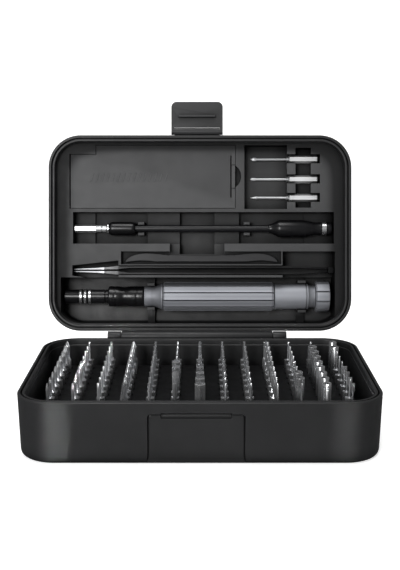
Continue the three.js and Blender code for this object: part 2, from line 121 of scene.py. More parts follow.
# ---- Case base ----
# A thick-walled injection moulding in black-grey plastic with a fine spark-eroded grain.
# Its rim has two ridges with a seal groove between them, and its front has a shallow
# thumb recess with the slot that the latch snaps into.
MM = 0.001
case_size = np.array([175.0, 113.1])
corner_radius = 18.6
base_height = 30.7
base_floor = 2.4
wall = 3.7
draft = 0.8
fitting_x = -1.7
recess_half_width = 22.75
recess_top = 24.8
recess_half_height = 22.4
recess_floor_y = -55.28
slot_half_width = 16.5
slot_half_height = 1.35
slot_middle = 24.0


def noise_value(tree, scale, stretch=(1.0, 1.0, 1.0), detail=3.0):
    """A noise texture over object coordinates, with its axes stretched. Returns its factor socket."""
    coordinates = tree.nodes.new("ShaderNodeTexCoord")
    mapping = tree.nodes.new("ShaderNodeMapping")
    mapping.inputs["Scale"].default_value = stretch
    noise = tree.nodes.new("ShaderNodeTexNoise")
    noise.inputs["Scale"].default_value = scale
    noise.inputs["Detail"].default_value = detail
    tree.links.new(coordinates.outputs["Object"], mapping.inputs["Vector"])
    tree.links.new(mapping.outputs["Vector"], noise.inputs["Vector"])
    return noise.outputs["Fac"]


def spread(tree, value, low, high):
    """Maps a factor between about 0.3 and 0.7 on to the range from low to high."""
    ranged = tree.nodes.new("ShaderNodeMapRange")
    ranged.inputs["From Min"].default_value = 0.3
    ranged.inputs["From Max"].default_value = 0.7
    ranged.inputs["To Min"].default_value = low
    ranged.inputs["To Max"].default_value = high
    tree.links.new(value, ranged.inputs["Value"])
    return ranged.outputs["Result"]


def surface(name, dark, light, rough, grain, metallic=0.0, specular=0.5, stretch=(1.0, 1.0, 1.0)):
    """A finish whose colour drifts between two shades over some millimetres, whose
    roughness drifts between two values, and whose grain = (size per metre, height in
    metres) is a fine bump. Edges are worn a little lighter, and painted shade from
    ambient occlusion darkens colour and shine in every narrow hollow."""
    material = bpy.data.materials.new(name)
    material.use_nodes = True
    tree = material.node_tree
    shader = tree.nodes["Principled BSDF"]
    shader.inputs["Metallic"].default_value = metallic
    cloud = noise_value(tree, 45.0, detail=4.0)
    blend = tree.nodes.new("ShaderNodeMix")
    blend.data_type = "RGBA"
    blend.inputs["A"].default_value = (*dark, 1.0)
    blend.inputs["B"].default_value = (*light, 1.0)
    tree.links.new(spread(tree, cloud, 0.0, 1.0), blend.inputs["Factor"])
    worn = tree.nodes.new("ShaderNodeNewGeometry")
    edge = tree.nodes.new("ShaderNodeMapRange")
    edge.inputs["From Min"].default_value = 0.51
    edge.inputs["From Max"].default_value = 0.58
    edge.inputs["To Max"].default_value = 0.5
    tree.links.new(worn.outputs["Pointiness"], edge.inputs["Value"])
    wear = tree.nodes.new("ShaderNodeMix")
    wear.data_type = "RGBA"
    wear.inputs["B"].default_value = (*[min(1.0, 2.2 * c) for c in light], 1.0)
    tree.links.new(edge.outputs["Result"], wear.inputs["Factor"])
    tree.links.new(blend.outputs["Result"], wear.inputs["A"])
    # Painted shade: ambient occlusion within 9 mm darkens the colour and the specular level in hollows.
    occlusion = tree.nodes.new("ShaderNodeAmbientOcclusion")
    occlusion.samples = 8
    occlusion.inputs["Distance"].default_value = 0.009
    hollow_shade = tree.nodes.new("ShaderNodeMapRange")
    hollow_shade.inputs["From Min"].default_value = 0.2
    hollow_shade.inputs["From Max"].default_value = 0.95
    hollow_shade.inputs["To Min"].default_value = 0.22
    tree.links.new(occlusion.outputs["AO"], hollow_shade.inputs["Value"])
    shaded = tree.nodes.new("ShaderNodeMix")
    shaded.data_type = "RGBA"
    shaded.blend_type = "MULTIPLY"
    shaded.inputs["Factor"].default_value = 1.0
    tree.links.new(wear.outputs["Result"], shaded.inputs["A"])
    tree.links.new(hollow_shade.outputs["Result"], shaded.inputs["B"])
    tree.links.new(shaded.outputs["Result"], shader.inputs["Base Color"])
    shaded_shine = tree.nodes.new("ShaderNodeMath")
    shaded_shine.operation = "MULTIPLY"
    shaded_shine.inputs[1].default_value = specular
    tree.links.new(hollow_shade.outputs["Result"], shaded_shine.inputs[0])
    tree.links.new(shaded_shine.outputs["Value"], shader.inputs["Specular IOR Level"])
    streaks = noise_value(tree, 160.0, stretch)
    tree.links.new(spread(tree, streaks, *rough), shader.inputs["Roughness"])
    bump = tree.nodes.new("ShaderNodeBump")
    bump.inputs["Distance"].default_value = grain[1]
    tree.links.new(noise_value(tree, grain[0], stretch), bump.inputs["Height"])
    tree.links.new(bump.outputs["Normal"], shader.inputs["Normal"])
    return material


case_plastic = surface("case_plastic", (0.011, 0.0112, 0.0118), (0.015, 0.0152, 0.016),
                       (0.42, 0.5), (2600.0, 0.00002), specular=0.38)


def new_piece(name, points, faces, material, body, nodes=(), smooth=35.0):
    """Puts points in metres and faces into a mesh, turns its faces outwards, rides it on a
    body and hides the nodes it stands for. Edges sharper than the angle stay crisp."""
    mesh = bpy.data.meshes.new(name)
    mesh.from_pydata(np.asarray(points).tolist(), [], [list(f) for f in faces])
    built = bmesh.new()
    built.from_mesh(mesh)
    bmesh.ops.remove_doubles(built, verts=built.verts, dist=1e-7)
    bmesh.ops.recalc_face_normals(built, faces=built.faces)
    built.to_mesh(mesh)
    built.free()
    mesh.polygons.foreach_set("use_smooth", np.ones(len(mesh.polygons), bool))
    mesh.set_sharp_from_angle(angle=math.radians(smooth))
    mesh.materials.append(material)
    piece = bpy.data.objects.new(name, mesh)
    bpy.context.scene.collection.objects.link(piece)
    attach(piece, body)
    if nodes:
        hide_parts(*nodes)
    return piece


def skin(rings, first=0):
    """Quads between neighbouring closed rings, with a flat face over each end. rings has
    shape (rings, points, 3); the vertex numbers start at first."""
    count, around = rings.shape[:2]
    a = first + np.arange(count - 1)[:, None] * around + np.arange(around)
    b = first + np.arange(count - 1)[:, None] * around + np.roll(np.arange(around), -1)
    quads = np.stack([a, b, b + around, a + around], -1).reshape(-1, 4).tolist()
    last = first + (count - 1) * around
    return quads + [list(range(first, first + around)), list(range(last, last + around))]


def rim_outline(inset, steps=24, front=()):
    """A rounded rectangle inset from the case's outline: quarter circles about the four
    corner centres, joined by straight sides. The front side takes extra points at the given x."""
    half = case_size / 2 - corner_radius
    turn = np.linspace(0, np.pi / 2, steps)
    front_y = -half[1] - corner_radius + inset
    pieces = [np.stack([np.asarray(front), np.full(len(front), front_y)], 1)]
    for quarter, (sx, sy) in enumerate([(1, -1), (1, 1), (-1, 1), (-1, -1)]):
        angle = turn + (quarter - 1) * np.pi / 2
        centre = half * (sx, sy)
        pieces.append(centre + (corner_radius - inset) * np.stack([np.cos(angle), np.sin(angle)], 1))
    return np.concatenate(pieces)


def arc(centre, radius, start, end, steps=5):
    """Points of a circular arc in a (inset, height) profile, angles in degrees."""
    turn = np.radians(np.linspace(start, end, steps))
    return np.stack([centre[0] + radius * np.cos(turn), centre[1] + radius * np.sin(turn)], 1)


def rim_profile(height, floor, edge=2.6):
    """(inset, height) points from the middle of the underside, up the drafted outer wall,
    over the two rim ridges and the groove, and down the inside to the floor."""
    outer = np.linspace(edge, height - 0.7, 66)
    lean = draft * (1 - outer / height)
    parts = [
        arc((edge + draft, edge), edge, -90, -180, 9),
        np.stack([lean, outer], 1)[1:],
        arc((0.6, height - 0.6), 0.6, 180, 90),
        arc((1.35, height - 0.25), 0.25, 90, 0),
        [(1.6, height - 1.9), (2.3, height - 1.9)],
        arc((2.65, height - 0.35), 0.35, 180, 90),
        arc((3.25, height - 0.45), 0.45, 90, 0),
        [(wall, height - 3.0), (wall + 0.35, height - 3.3), (wall + 0.35, height - 9.0)],
        [(wall + 0.4, floor + 1.5)],
        arc((wall + 1.9, floor + 1.5), 1.5, 180, 270),
    ]
    return np.concatenate([np.asarray(p, float) for p in parts])


def smooth_step(value, width):
    """0 where value is above half the width, 1 below minus half of it, and a cubic between."""
    t = np.clip(0.5 - value / width, 0, 1)
    return t * t * (3 - 2 * t)


def rounded_box_distance(x, z, centre, half, radius):
    """Signed distance to a rectangle with rounded corners, negative inside."""
    qx = np.abs(x - centre[0]) - half[0] + radius
    qz = np.abs(z - centre[1]) - half[1] + radius
    outside = np.hypot(np.maximum(qx, 0), np.maximum(qz, 0))
    return outside + np.minimum(np.maximum(qx, qz), 0) - radius


def case_half(height, floor, front=()):
    """The rim profile carried round the rounded outline. Returns rings in millimetres with
    the underside at height 0."""
    profile = rim_profile(height, floor)
    outlines = [rim_outline(inset, front=front) for inset, _ in profile]
    heights = np.repeat(profile[:, 1:], len(outlines[0]), 1)[:, :, None]
    return np.concatenate([np.stack(outlines), heights], 2)


def press_front(rings):
    """Pushes the front wall in: a shallow recess with an upright floor, open at the bottom and
    flaring at its feet, and across its top edge a slot whose floor slopes up and inwards."""
    x, y, z = rings[..., 0], rings[..., 1], rings[..., 2]
    on_wall = (y < -case_size[1] / 2 + 1.5) & (np.abs(x) < 40)
    flare = 2.2 * np.exp(-z / 1.3)
    recess_middle = (fitting_x, recess_top - recess_half_height)
    recess = rounded_box_distance(x, z, recess_middle, (recess_half_width + flare, recess_half_height), 1.8)
    slot_half = (slot_half_width, slot_half_height)
    slot_box = rounded_box_distance(x, z, (fitting_x, slot_middle), slot_half, 0.2)
    slope = np.clip((z - slot_middle + 1.4) / 1.2, 0, 1)
    seam = 0.35 * np.exp(-((recess + 0.25) / 0.25) ** 2) * (1 - smooth_step(slot_box, 0.6))
    sunk = y + np.clip(recess_floor_y - y, 0, 2) * smooth_step(recess, 0.35) + seam
    sunk = sunk + (0.35 + 0.75 * slope) * smooth_step(slot_box, 0.22)
    rings[..., 1] = np.where(on_wall, sunk, y)
    return rings


front_points = np.concatenate([
    np.linspace(-60, -30, 8), np.arange(-29.6, -22.5, 0.2), np.arange(-22.4, -19.2, 0.6),
    np.arange(-19.0, -17.4, 0.2), np.arange(-17.0, 13.8, 1.4), np.arange(14.0, 15.8, 0.2),
    np.arange(16.2, 18.9, 0.6), np.arange(19.0, 26.4, 0.2), np.linspace(27, 60, 8)])
base_rings = press_front(case_half(base_height, base_floor, front_points))
new_piece("case_base", base_rings.reshape(-1, 3) * MM, skin(base_rings), case_plastic, "base",
          ["base_shell"])

# ---- Case lid ----
# The same moulding made shallower, standing open on the hinge. Everything inside it is
# worked out in the lid's own frame: x right, y away from the hinge, z out of the tray.
lid_joint = next(j for j in frame["joints"] if j["name"] == "lid_hinge")
lid_tilt = math.radians(180 + lid_joint["range_deg"][0])
hinge_point = np.array(lid_joint["pos_m"]) / MM
setback = hinge_point[1] - case_size[1] / 2
lid_up = np.array([0.0, math.cos(lid_tilt), math.sin(lid_tilt)])
lid_out = np.array([0.0, -math.sin(lid_tilt), math.cos(lid_tilt)])
lid_origin = hinge_point * (0, 1, 1) + setback * lid_up
lid_thickness = 25.0
lid_floor = 1.6
gap = 0.3


def in_lid(points):
    """Points in the lid's own frame, in millimetres, as metres in the frame of the whole part."""
    points = np.asarray(points, float)
    along = points[..., 0:1] * np.array([1.0, 0.0, 0.0])
    return (lid_origin + along + points[..., 1:2] * lid_up + points[..., 2:3] * lid_out) * MM


lid_rings = case_half(lid_thickness - gap, lid_floor)
lid_rings = lid_rings + (0, case_size[1] / 2, -lid_thickness)
new_piece("case_lid", in_lid(lid_rings).reshape(-1, 3), skin(lid_rings), case_plastic, "lid",
          ["lid_shell"])

# ---- Hinge knuckles and latch lug ----
# Moulded with the case halves: a round knuckle about the pin with a flat web into the wall.
# The lid has one long knuckle with a heel that stops it open, and the base has two short ones.
hinge_length = 102.9
end_knuckle = 7.7
knuckle_radius = min(setback - 0.12, 3.1)


def keyhole(radius, web_reach, web_low, web_high, steps=28):
    """A section in (y, z): most of a circle, running into a rectangular web towards +y."""
    low = math.asin(np.clip(web_low / radius, -1, 1))
    high = math.asin(np.clip(web_high / radius, -1, 1))
    turn = np.linspace(high, low + 2 * np.pi, steps)
    circle = np.stack([radius * np.cos(turn), radius * np.sin(turn)], 1)
    return np.concatenate([circle, [(web_reach, web_low), (web_reach, web_high)]])


def moulded_bar(section, x0, x1, soft=0.25):
    """A section carried along x, shrunk slightly at both ends so that its ends are eased."""
    centre = section.mean(0)
    stations = [(x0, 0.93), (x0 + soft * 0.3, 0.98), (x0 + soft, 1.0),
                (x1 - soft, 1.0), (x1 - soft * 0.3, 0.98), (x1, 0.93)]
    shrunk = [(x, centre + (section - centre) * scale) for x, scale in stations]
    return np.stack([np.column_stack([np.full(len(section), x), outline]) for x, outline in shrunk])


inner_x = hinge_length / 2 - end_knuckle
for side, name in ((-1, "left"), (1, "right")):
    span = sorted((fitting_x + side * inner_x, fitting_x + side * hinge_length / 2))
    section = keyhole(knuckle_radius, setback + 0.6, -knuckle_radius, -0.4) * (-1, 1)
    rings = moulded_bar(section, *span) + (0, hinge_point[1], hinge_point[2])
    new_piece(f"base_knuckle_{name}", rings.reshape(-1, 3) * MM, skin(rings), case_plastic, "base")
section = keyhole(knuckle_radius, setback + 0.6, -knuckle_radius, -0.4)
rings = moulded_bar(section, fitting_x - inner_x + gap, fitting_x + inner_x - gap) - (0, setback, 0)
new_piece("lid_knuckle", in_lid(rings).reshape(-1, 3), skin(rings), case_plastic, "lid")

stop_half = 38.5
heel_section = np.array([(-2.72, -4.6), (-2.3, -5.0), (-1.0, -5.0), (-0.6, -4.6), (-0.6, -0.5),
                         (-2.76, -0.5)])
rings = moulded_bar(heel_section, fitting_x - stop_half, fitting_x + stop_half)
rings = rings + (0, hinge_point[1], hinge_point[2])
new_piece("lid_heel", rings.reshape(-1, 3) * MM, skin(rings), case_plastic, "lid")

latch_width = 29.7
latch_axis = np.array([0.0, 115.3, -2.0])
ear = 1.6
lug_gap = 0.06
lug_radius = 2.14
lug_half = latch_width / 2 - ear - lug_gap
section = keyhole(lug_radius, 3.1, -1.9, 0.7) * (-1, 1)
rings = moulded_bar(section, fitting_x - lug_half, fitting_x + lug_half, soft=0.06) + latch_axis
new_piece("latch_lug", in_lid(rings).reshape(-1, 3), skin(rings), case_plastic, "lid")

# ---- Lid tray, storage cover and latch ----
# The tray is one deep moulding with a pocket for every tool, pressed into the lid. The storage
# cover snaps over its left well and swings on two stub pins. The latch is a stiff plate.
tray_plastic = surface("tray_plastic", (0.030, 0.0303, 0.031), (0.037, 0.0374, 0.0385),
                       (0.5, 0.6), (2200.0, 0.00002), specular=0.35)

cover_face = -4.6
# A painted shadow from the lid's walls: its outline's half sizes, where it starts and ends, its darkest shade
# and how square it is.
margin_half = (83.0, 52.5)
margin_range = (0.86, 0.95)
margin_shade = 0.34
squareness = 8.0


def paint_wall_shadow(material):
    """Multiplies a finish's colour and shine by a painted shadow that falls towards the lid's
    outline, where the lid's walls shade the tray. The outline is a rounded square: the sum of the eighth
    powers of the shares of the half width and half height."""
    tree = material.node_tree
    shader = tree.nodes["Principled BSDF"]
    place = tree.nodes.new("ShaderNodeTexCoord")
    middle_up = float(lid_up @ lid_origin) + case_size[1] / 2
    outline_sum = None
    for axis, middle, half in zip(((1.0, 0.0, 0.0), tuple(lid_up)), (0.0, middle_up), margin_half):
        along = tree.nodes.new("ShaderNodeVectorMath")
        along.operation = "DOT_PRODUCT"
        along.inputs[1].default_value = axis
        tree.links.new(place.outputs["Object"], along.inputs[0])
        share = tree.nodes.new("ShaderNodeMath")
        share.operation = "MULTIPLY_ADD"
        share.inputs[1].default_value = 1 / (half * MM)
        share.inputs[2].default_value = -middle / half
        tree.links.new(along.outputs["Value"], share.inputs[0])
        power = tree.nodes.new("ShaderNodeMath")
        power.operation = "POWER"
        power.inputs[1].default_value = squareness
        tree.links.new(share.outputs["Value"], power.inputs[0])
        total = tree.nodes.new("ShaderNodeMath")
        total.operation = "ADD"
        total.inputs[1].default_value = 0.0
        tree.links.new(power.outputs["Value"], total.inputs[0])
        if outline_sum:
            tree.links.new(outline_sum, total.inputs[1])
        outline_sum = total.outputs["Value"]
    margin = tree.nodes.new("ShaderNodeMapRange")
    margin.interpolation_type = "SMOOTHSTEP"
    margin.inputs["From Min"].default_value = margin_range[0] ** squareness
    margin.inputs["From Max"].default_value = margin_range[1] ** squareness
    margin.inputs["To Min"].default_value = 1.0
    margin.inputs["To Max"].default_value = margin_shade
    tree.links.new(outline_sum, margin.inputs["Value"])
    for socket in ("Base Color", "Specular IOR Level"):
        before = shader.inputs[socket].links[0].from_socket
        shadowed = tree.nodes.new("ShaderNodeMix")
        shadowed.data_type = "RGBA"
        shadowed.blend_type = "MULTIPLY"
        shadowed.inputs["Factor"].default_value = 1.0
        tree.links.new(before, shadowed.inputs["A"])
        tree.links.new(margin.outputs["Result"], shadowed.inputs["B"])
        tree.links.new(shadowed.outputs["Result"], shader.inputs[socket])


# Painted shadow on the tray, its cover and the hatching, darkest along the lid's walls.
paint_wall_shadow(tray_plastic)


def eased_copy(name, node, material, body, width):
    """A merged copy of a CAD node, its flat faces joined up, with every edge rounded a little."""
    built = bmesh.new()
    built.from_mesh(frame["nodes"][node].data)
    bmesh.ops.remove_doubles(built, verts=built.verts, dist=2e-6)
    flat_angle = math.radians(0.5)
    bmesh.ops.dissolve_limit(built, angle_limit=flat_angle, verts=built.verts, edges=built.edges)
    mesh = bpy.data.meshes.new(name)
    built.to_mesh(mesh)
    built.free()
    mesh.materials.clear()
    mesh.materials.append(material)
    mesh.polygons.foreach_set("use_smooth", np.ones(len(mesh.polygons), bool))
    piece = bpy.data.objects.new(name, mesh)
    bpy.context.scene.collection.objects.link(piece)
    rounding = piece.modifiers.new("rounding", "BEVEL")
    rounding.width = width
    rounding.segments = 2
    rounding.limit_method = "ANGLE"
    rounding.angle_limit = math.radians(28)
    rounding.face_strength_mode = "FSTR_ALL"
    normals = piece.modifiers.new("flat_normals", "WEIGHTED_NORMAL")
    normals.weight = 100
    normals.use_face_influence = True
    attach(piece, body)
    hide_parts(node)
    return piece


eased_copy("tool_tray", "lid_tray", tray_plastic, "lid", 0.00022)
eased_copy("well_cover", "storage_cover", tray_plastic, "storage_cover", 0.00018)
eased_copy("latch_plate", "latch", case_plastic, "latch", 0.0003)

hatch_height = 0.14
hatch_low, hatch_high = 86.6, 91.6
bar_half, bar_slant = 0.4, 1.6
hatch_layers = [(1.0, -0.2), (1.0, hatch_height * 0.6), (0.86, hatch_height)]
hatch_points, hatch_faces = [], []
for x in np.linspace(-63.5, -20.5, 15):
    run = np.array([[x - bar_half, hatch_low], [x + bar_half, hatch_low],
                    [x + bar_slant + bar_half, hatch_high], [x + bar_slant - bar_half, hatch_high]])
    middle = run.mean(0)
    outlines = [(middle + (run - middle) * scale, cover_face + z) for scale, z in hatch_layers]
    rings = np.stack([np.column_stack([outline, np.full(4, z)]) for outline, z in outlines])
    hatch_faces += skin(rings, first=sum(len(p) for p in hatch_points))
    hatch_points.append(rings.reshape(-1, 3))
new_piece("cover_hatching", in_lid(np.concatenate(hatch_points)), hatch_faces, tray_plastic,
          "storage_cover")

# ---- Bit rack and its magnet ----
# A black moulded block on the base's floor with a chamfered hexagonal hole for every bit.
# A sheet magnet lies under it and holds the bits down.
rack_plastic = surface("rack_plastic", (0.0035, 0.0035, 0.0038), (0.0055, 0.0055, 0.006),
                       (0.5, 0.62), (2400.0, 0.00002), specular=0.14)
columns = 13
rows = 9
pitch = np.array([12.27, 9.25])
front_row = -36.0
column_x = (np.arange(columns) - (columns - 1) / 2) * pitch[0]
row_y = front_row + np.arange(rows) * pitch[1]
rack_low, rack_high = (np.array(corner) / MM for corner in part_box("bit_rack"))
hex_radius = 2.31


def hexagon(angle):
    """The radius of a regular hexagon of corner radius 1, a corner at angle zero and every sixth turn."""
    return math.cos(math.pi / 6) / np.cos(np.mod(angle, math.pi / 3) - math.pi / 6)


def hole_tiles(x_edges, y_edges, top, floor, radius, chamfer):
    """One tile for each cell of a grid: its square edge, the chamfered rim of its hole and the
    hole's wall down to the floor. Shape (cells, rings, 24, 3)."""
    x0, y0 = np.meshgrid(x_edges[:-1], y_edges[:-1], indexing="ij")
    x1, y1 = np.meshgrid(x_edges[1:], y_edges[1:], indexing="ij")
    corners = np.stack([np.stack(c, -1) for c in ((x0, y0), (x1, y0), (x1, y1), (x0, y1))], -2)
    corners = corners.reshape(-1, 4, 2)
    t = np.arange(6)[:, None] / 6
    sides = [corners[:, None, k] * (1 - t) + corners[:, None, (k + 1) % 4] * t for k in range(4)]
    edge = np.concatenate(sides, 1)
    centre = np.stack(np.meshgrid(column_x, row_y, indexing="ij"), -1).reshape(-1, 1, 2)
    angle = np.radians(-135 + 15 * np.arange(24))
    hole = np.stack([np.cos(angle), np.sin(angle)], 1) * hexagon(angle + math.pi / 6)[:, None]
    rings = [(edge, top), (centre + (radius + chamfer) * hole, top),
             (centre + radius * hole, top - chamfer), (centre + radius * hole, floor)]
    flat = [np.concatenate([ring + 0 * edge, np.full(edge.shape[:2] + (1,), z)], 2) for ring, z in rings]
    return np.stack(flat, 1)


def tile_faces(cells, rings, around):
    """Quads between the rings of every tile, and one face over each hole's floor."""
    start = np.arange(cells)[:, None, None] * rings * around
    a = start + np.arange(rings - 1)[:, None] * around + np.arange(around)
    b = start + np.arange(rings - 1)[:, None] * around + np.roll(np.arange(around), -1)
    quads = np.stack([a, b, b + around, a + around], -1).reshape(-1, 4).tolist()
    return quads + (start[:, 0] + (rings - 1) * around + np.arange(around)).tolist()


x_edges = np.concatenate([[rack_low[0] + 1.5], (column_x[1:] + column_x[:-1]) / 2, [rack_high[0] - 1.5]])
y_edges = np.concatenate([[rack_low[1] + 0.9], (row_y[1:] + row_y[:-1]) / 2, [rack_high[1] - 0.9]])
rack_top = rack_high[2]
tiles = hole_tiles(x_edges, y_edges, rack_top, 5.2, 2.5, 0.35)
rack_points = tiles.reshape(-1, 3)
rack_faces = tile_faces(len(tiles), tiles.shape[1], tiles.shape[2])


def fine_steps(edges):
    """Six equal steps between each pair of neighbouring edges."""
    t = np.arange(6)[:, None] / 6
    return (edges[:-1] * (1 - t) + edges[1:] * t).T.reshape(-1)


fine_x, fine_y = fine_steps(x_edges), fine_steps(y_edges)
grid_edge = np.concatenate([
    np.column_stack([fine_x, np.full(len(fine_x), y_edges[0])]),
    np.column_stack([np.full(len(fine_y), x_edges[-1]), fine_y]),
    np.column_stack([x_edges[-1] + x_edges[0] - fine_x, np.full(len(fine_x), y_edges[-1])]),
    np.column_stack([np.full(len(fine_y), x_edges[0]), y_edges[-1] + y_edges[0] - fine_y])])
rack_middle = (rack_low[:2] + rack_high[:2]) / 2
rack_half = (rack_high[:2] - rack_low[:2]) / 2
rack_radius = 3.0


def rack_outline(inset):
    """The grid's edge points pushed straight out to a rounded rectangle inset from the rack's outline."""
    inner = np.clip(grid_edge - rack_middle, rack_radius - rack_half, rack_half - rack_radius)
    out = grid_edge - rack_middle - inner
    out = out / np.linalg.norm(out, axis=1)[:, None]
    return rack_middle + inner + (rack_radius - inset) * out


border = [(grid_edge, rack_top), (rack_outline(0.5), rack_top), (rack_outline(0.15), rack_top - 0.15),
          (rack_outline(0.0), rack_top - 0.5), (rack_outline(0.0), rack_low[2])]
border_rings = np.stack([np.column_stack([outline, np.full(len(outline), z)]) for outline, z in border])
border_faces = skin(border_rings, first=len(rack_points))
rack_faces += [face for face in border_faces if face[0] != len(rack_points) or len(face) == 4]
new_piece("rack_block", np.concatenate([rack_points, border_rings.reshape(-1, 3)]) * MM, rack_faces,
          rack_plastic, "base", ["bit_rack"])

magnet_grey = surface("magnet_grey", (0.06, 0.06, 0.065), (0.10, 0.10, 0.105), (0.45, 0.65),
                      (900.0, 0.00003), metallic=0.8)
steel = surface("ground_steel", (0.58, 0.59, 0.61), (0.72, 0.73, 0.75), (0.22, 0.32),
                (900.0, 0.000001), metallic=0.92, stretch=(1.0, 1.0, 0.15))
black_steel = surface("black_steel", (0.004, 0.004, 0.0045), (0.007, 0.007, 0.008), (0.28, 0.36),
                      (700.0, 0.000001), specular=0.42, stretch=(0.3, 1.0, 1.0))
for node, finish in (("magnet_sheet", magnet_grey), ("holder_magnet", magnet_grey),
                     ("socket_magnet", magnet_grey), ("hinge_pin", black_steel), ("latch_pin", black_steel),
                     ("collar_spring", steel), ("driver_shaft", steel), ("cap_bearing", steel)):
    part = frame["nodes"][node]
    part.data.materials.clear()
    part.data.materials.append(finish)

# ---- Bits ----
# Each bit is one turned and ground bar of hardened steel: a 4 mm hexagonal shank, a conical
# shoulder, and a blade. Nine to a column, and every column stands loose in the rack.
shank_foot = 5.5
shank_top = 23.2
blade_sections = {
    "star": lambda a: 0.9 + 0.1 * np.cos(6 * a),
    "cross": lambda a: 0.45 + 0.55 * np.abs(np.cos(2 * a)) ** 0.8,
    "wedge": lambda a: 0.5 / np.cos(np.mod(a + math.pi / 2, 2 * math.pi / 3) - math.pi / 3),
    "three_wing": lambda a: 0.66 + 0.34 * np.cos(3 * a + math.pi / 2),
    "flat": lambda a: 1 / np.maximum(np.abs(np.cos(a)), np.abs(np.sin(a)) / math.tan(math.pi / 12)),
    "key": hexagon,
    "socket": hexagon,
}
# Stations of a blade: height, radius in blade radii, and section, from 0 for the shank's
# hexagon over 1 for round to 2 for the blade's own.
blade_stations = {
    "star": [(23.6, 1.3, 1), (24.5, 1.0, 1), (30.6, 1.0, 1), (31.0, 1.0, 2), (33.3, 1.0, 2),
             (33.5, 0.8, 2)],
    "cross": [(23.6, 1.3, 1), (24.6, 0.95, 1), (30.0, 1.0, 1), (30.6, 1.0, 1.7), (33.2, 0.42, 2),
              (33.5, 0.2, 2)],
    "wedge": [(23.6, 1.5, 1), (24.4, 1.35, 2), (33.2, 0.45, 2), (33.5, 0.2, 2)],
    "three_wing": [(23.6, 1.15, 1), (24.8, 1.0, 2), (33.3, 1.0, 2), (33.5, 0.85, 2)],
    "flat": [(23.6, 0.75, 1), (24.8, 0.6, 1), (28.4, 0.55, 1), (29.6, 1.0, 2), (33.3, 0.95, 2),
             (33.5, 0.85, 2)],
    "key": [(23.5, 1.0, 0), (33.1, 1.0, 0), (33.5, 0.88, 0)],
    "socket": [(23.6, 1.0, 1), (33.2, 1.0, 1), (33.5, 0.93, 1), (33.5, 0.8, 0), (33.1, 0.7, 0),
               (30.0, 0.7, 0)],
}
# The runs of each column from front to back: how many bits, their blade, first and last radius.
bit_runs = [
    [(9, "cross", 0.75, 1.45)],
    [(5, "cross", 0.75, 1.4), (4, "star", 0.65, 0.65)],
    [(9, "star", 0.6, 0.8)],
    [(1, "wedge", 1.7, 1.7), (8, "cross", 1.1, 1.6)],
    [(9, "star", 0.7, 0.75)],
    [(2, "key", 1.0, 1.15), (3, "key", 1.9, 2.5), (4, "star", 0.6, 0.65)],
    [(4, "key", 2.9, 2.1), (5, "key", 1.2, 0.8)],
    [(9, "star", 0.65, 0.8)],
    [(9, "star", 0.65, 0.8)],
    [(9, "three_wing", 1.25, 1.75)],
    [(1, "star", 0.5, 0.5), (2, "socket", 2.3, 2.3), (6, "star", 0.55, 0.65)],
    [(8, "socket", 2.0, 2.45), (1, "star", 0.6, 0.6)],
    [(4, "flat", 0.9, 1.25), (3, "cross", 0.55, 0.6), (2, "socket", 2.1, 2.1)],
]
turn = np.radians(15 * np.arange(24)) - math.pi / 2


def bit(kind, radius, x, y):
    """One bit as rings round its upright axis: at each station the ring's radius times a blend
    of hexagon, circle and blade section."""
    stations = [(shank_foot, hex_radius - 0.35, 0), (shank_foot + 0.4, hex_radius, 0)]
    stations += [(shank_top, hex_radius, 0)]
    stations += [(z, scale * radius, share) for z, scale, share in blade_stations[kind]]
    z, size, share = (column[:, None] for column in np.array(stations).T)
    rounding = np.clip(share, 0, 1)
    shaping = np.clip(share - 1, 0, 1)
    outline = (1 - rounding) * hexagon(turn + math.pi / 2) + rounding
    outline = (1 - shaping) * outline + shaping * blade_sections[kind](turn)
    reach = size * outline
    return np.stack([x + reach * np.cos(turn), y + reach * np.sin(turn), z + 0 * reach], -1)


for column, runs in enumerate(bit_runs):
    plan = [(kind, radius) for count, kind, first, last in runs for radius in np.linspace(first, last, count)]
    points, faces = [], []
    for row, (kind, radius) in enumerate(plan):
        rings = bit(kind, radius, column_x[column], row_y[row])
        faces += skin(rings, first=sum(len(p) for p in points))
        points.append(rings.reshape(-1, 3))
    new_piece(f"bits_{column + 1:02d}", np.concatenate(points) * MM, faces, steel,
              f"bit_column_{column + 1:02d}", [f"bit_column_{column + 1:02d}"], smooth=28)

# ---- Screwdriver ----
# Turned in aluminium and anodised blue-grey, with a black steel bit holder, three polished
# rings on it, and a sliding black collar. The end cap spins on its bearing under a fingertip.
anodised = surface("anodised", (0.195, 0.2, 0.218), (0.225, 0.232, 0.252), (0.50, 0.60),
                   (2600.0, 0.000006), metallic=0.4, stretch=(0.2, 1.0, 1.0))
driver_y, driver_z = 19.8, -13.6


def turned(profile, centre, angle, section):
    """A profile of (radius, x, share) stations carried round an axis along x. The radius is
    blended between round at share 0 and the section's own outline at share 1."""
    radius, x, share = (column[:, None] for column in np.array([(*p, 0)[:3] for p in profile], float).T)
    reach = radius * (1 - share + share * section(angle))
    return np.stack([x + 0 * reach, centre[0] + reach * np.cos(angle), centre[1] + reach * np.sin(angle)], -1)


def turned_piece(name, profile, centre, material, body, nodes, angle=None, section=hexagon, ring=False,
                 smooth=30):
    """A turned piece in the lid, closed over both ends, or on itself if it is a ring."""
    angle = np.radians(7.5 * np.arange(48)) if angle is None else angle
    rings = turned(profile, centre, angle, section)
    if ring:
        rings = np.concatenate([rings, rings[:1]])
    faces = skin(rings)
    return new_piece(name, in_lid(rings).reshape(-1, 3), faces[:-2] if ring else faces, material, body, nodes,
                     smooth)


